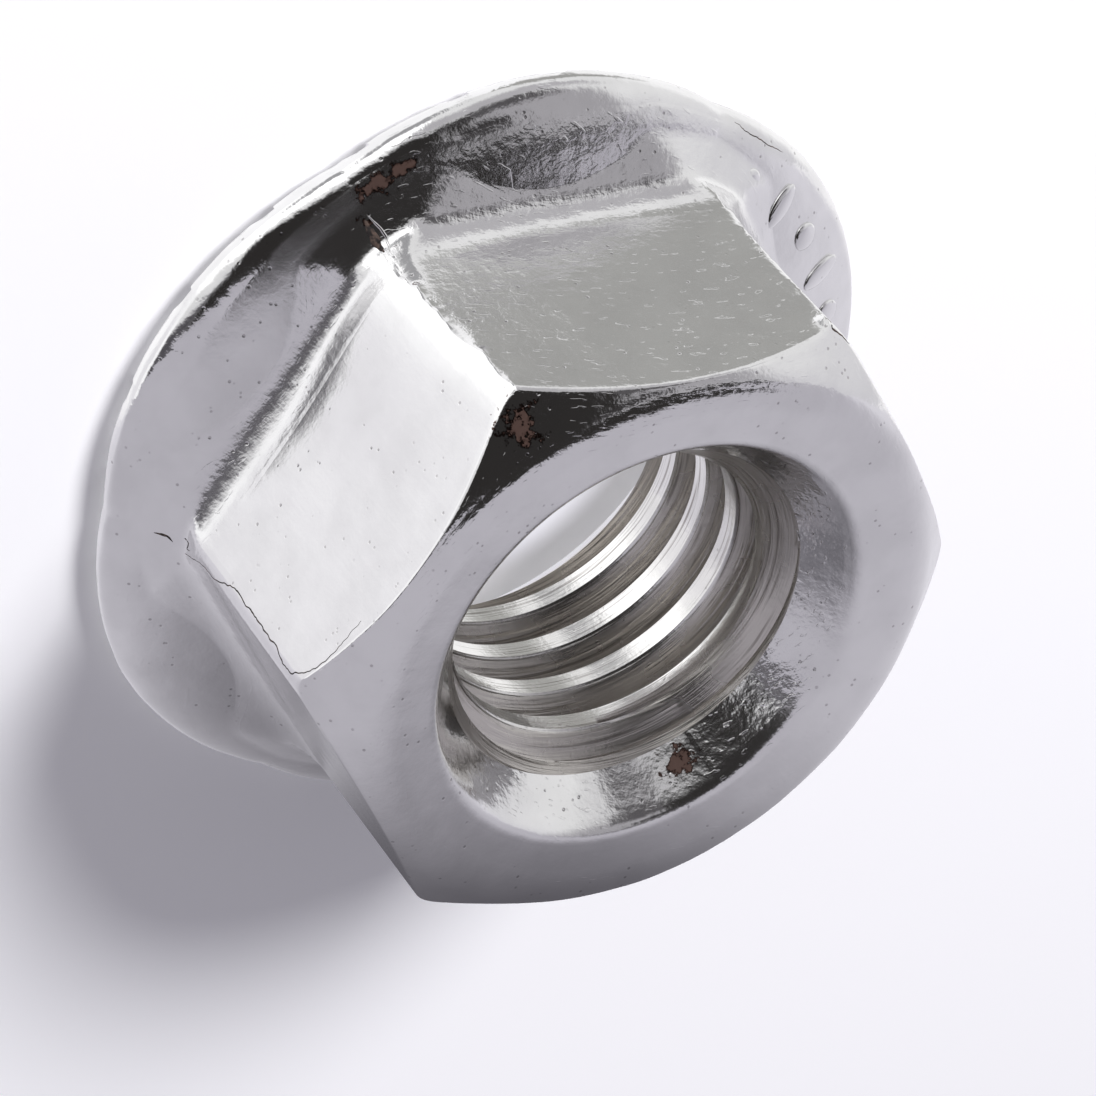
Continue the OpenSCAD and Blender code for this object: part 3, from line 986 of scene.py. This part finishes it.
def add_lamp(name, toward, distance, size, power):
    data = bpy.data.lights.new(name, "AREA")
    data.shape = "DISK"
    data.size = size
    data.energy = power
    lamp = bpy.data.objects.new(name, data)
    bpy.context.scene.collection.objects.link(lamp)
    direction = Vector(toward).normalized()
    turned = direction.to_track_quat("Z", "Y").to_matrix().to_4x4()
    lamp.matrix_world = Matrix.Translation(direction * distance) @ turned
    lamp.visible_glossy = False


# Lines on the skin: the points in mm that each one runs through
CRACK = (
    (3.41, 6.62, 1.83), (3.48, 6.55, 2.14), (3.54, 6.49, 2.61), (3.57, 6.48, 2.99), (3.80, 6.35, 3.63),
    (3.88, 6.27, 4.04), (3.85, 6.30, 4.49), (3.87, 6.28, 5.10), (3.86, 6.30, 5.47), (3.84, 6.31, 5.81),
    (3.76, 6.39, 6.19), (3.77, 6.38, 6.54), (3.90, 6.24, 6.83), (4.06, 5.97, 7.05), (4.27, 5.61, 7.20),
    (4.50, 5.21, 7.28), (4.76, 4.76, 7.30),
)
POCKET = ((7.94, 0.15, 1.37), (7.82, 0.18, 1.47), (7.68, 0.19, 1.57), (7.53, 0.21, 1.71), (7.44, 0.20, 1.93))
RIM_CRACK = ((3.96, -7.60, 0.87), (3.69, -7.71, 0.95), (3.35, -7.87, 0.97), (2.96, -8.05, 0.99), (2.51, -8.26, 0.96))
# Each line's points, half width at its ends and in its middle, share of the width that is sunk, and wander
OXIDE_LINES = (
    (CRACK, 0.010, 0.030, 0.70, 0.045),
    (((3.86, 6.93, 1.37), (3.80, 6.84, 1.46), (3.75, 6.74, 1.55), (3.62, 6.71, 1.62)), 0.012, 0.060, 0.75, 0.03),
    (((3.71, 6.47, 1.80), (3.68, 6.46, 1.95), (3.53, 6.55, 1.89), (3.55, 6.54, 2.02)), 0.012, 0.038, 0.75, 0.03),
    (POCKET, 0.02, 0.20, 0.70, 0.02),
    (((3.94, -6.18, 6.69), (3.84, -6.25, 7.00), (3.55, -6.35, 7.06), (3.31, -6.40, 7.13)), 0.010, 0.045, 0.75, 0.04),
    (RIM_CRACK, 0.008, 0.022, 0.7, 0.05),
)
BURR_LINES = (
    (((7.96, 0.06, 1.37), (7.75, 0.01, 1.53), (7.57, -0.01, 1.70), (7.45, 0.10, 1.98)), 0.015, 0.045, 0.35, 0.015),
)


def skin_tree(piece):
    """The piece's faces as a tree that finds its nearest skin."""
    corners = [vertex.co.copy() for vertex in piece.data.vertices]
    return BVHTree.FromPolygons(corners, [tuple(face.vertices) for face in piece.data.polygons])


def drawn_lines(name, lines, surface, step=0.045):
    """Loose edges that follow each line over the skin, with the width of the line at each point."""
    points, edges, widths = [], [], []
    for number, (corners, thin, thick, sunk, wander) in enumerate(lines):
        corners = [Vector(c) for c in corners]
        reach = np.concatenate([[0], np.cumsum([(b - a).length for a, b in zip(corners, corners[1:])])])
        places = np.linspace(0, reach[-1], max(int(reach[-1] / step), 4))
        path = np.stack([np.interp(places, reach, [c[k] for c in corners]) for k in range(3)], axis=-1)
        first = len(points)
        for place, spot in zip(places, path):
            spot = Vector(spot)
            aside = noise.noise_vector(spot * 2.5 + Vector((number, 0, 0))) * wander
            aside += noise.noise_vector(spot * 9.0) * wander * 0.7
            swell = 0.55 + 0.9 * abs(noise.noise(spot * 5.0 + Vector((0, number, 3))))
            width = thin + (thick - thin) * math.sin(math.pi * place / reach[-1]) * swell
            found, normal, _, _ = surface.find_nearest(spot + aside)
            points.append(found - normal * width * sunk)
            widths.append(width)
        edges += [(k, k + 1) for k in range(first, len(points) - 1)]
    mesh = bpy.data.meshes.new(name)
    mesh.from_pydata([tuple(p) for p in points], edges, [])
    mesh.attributes.new("half_width", "FLOAT", "POINT").data.foreach_set("value", widths)
    return new_piece(name, mesh)


# The nut
skin = skin_group()
formed = formed_metal(skin)
cut = cut_metal(skin)
oxide = oxide_material()

body = new_piece("flange_nut_body", body_mesh())
body.data.materials.append(formed)
body.data.materials.append(cut)
apply_tree(body, thread_tree(), {
    "Pitch": PITCH, "Crest radius": BORE_R, "Root radius": THREAD_R,
    "Crest half width": CREST_HALF, "Flank angle": FLANK, "Crest height": CREST_Z, "Material": cut,
})
apply_tree(body, teeth_tree(), {"Teeth": TEETH, "Gap": math.radians(GAP), "Ramp": RAMP, "Material": formed})
surface = skin_tree(body)
sweep = lines_tree()
creases = drawn_lines("oxide_creases", OXIDE_LINES, surface)
apply_tree(creases, sweep, {"Sides": 8, "Swelling": 1.0, "Material": oxide})
burrs = drawn_lines("fold_burrs", BURR_LINES, surface)
apply_tree(burrs, sweep, {"Sides": 8, "Swelling": 1.0, "Material": formed})

marks = new_piece("flange_marks", bpy.data.meshes.new("flange_marks"))
apply_tree(marks, marks_tree(), {
    "Count": 6, "First angle": math.radians(-27.0), "Step": math.radians(10.5), "Row radius": 6.35,
    "Lobe top": LOBE_TOP, "Slope": SLOPE, "Relief": 0.07, "Material": formed,
})
marks.data.transform(Matrix.Rotation(math.radians(-90), 4, "Z") @ Matrix.Translation((LOBE_SHIFT, 0, 0)))
pieces = (body, creases, burrs, marks)
for piece in pieces:
    scaled(piece)
    piece.data.shade_smooth()
body.data.set_sharp_from_angle(angle=math.radians(38))

bpy.context.scene.view_settings.view_transform = "Standard"
add_floor()
add_table_card()
add_surround()
add_lamp("key", (0.45, -0.60, 0.66), 0.25, 0.10, 0.66)
add_camera()

for piece in pieces:
    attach(piece, "root")
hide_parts("flange_nut")
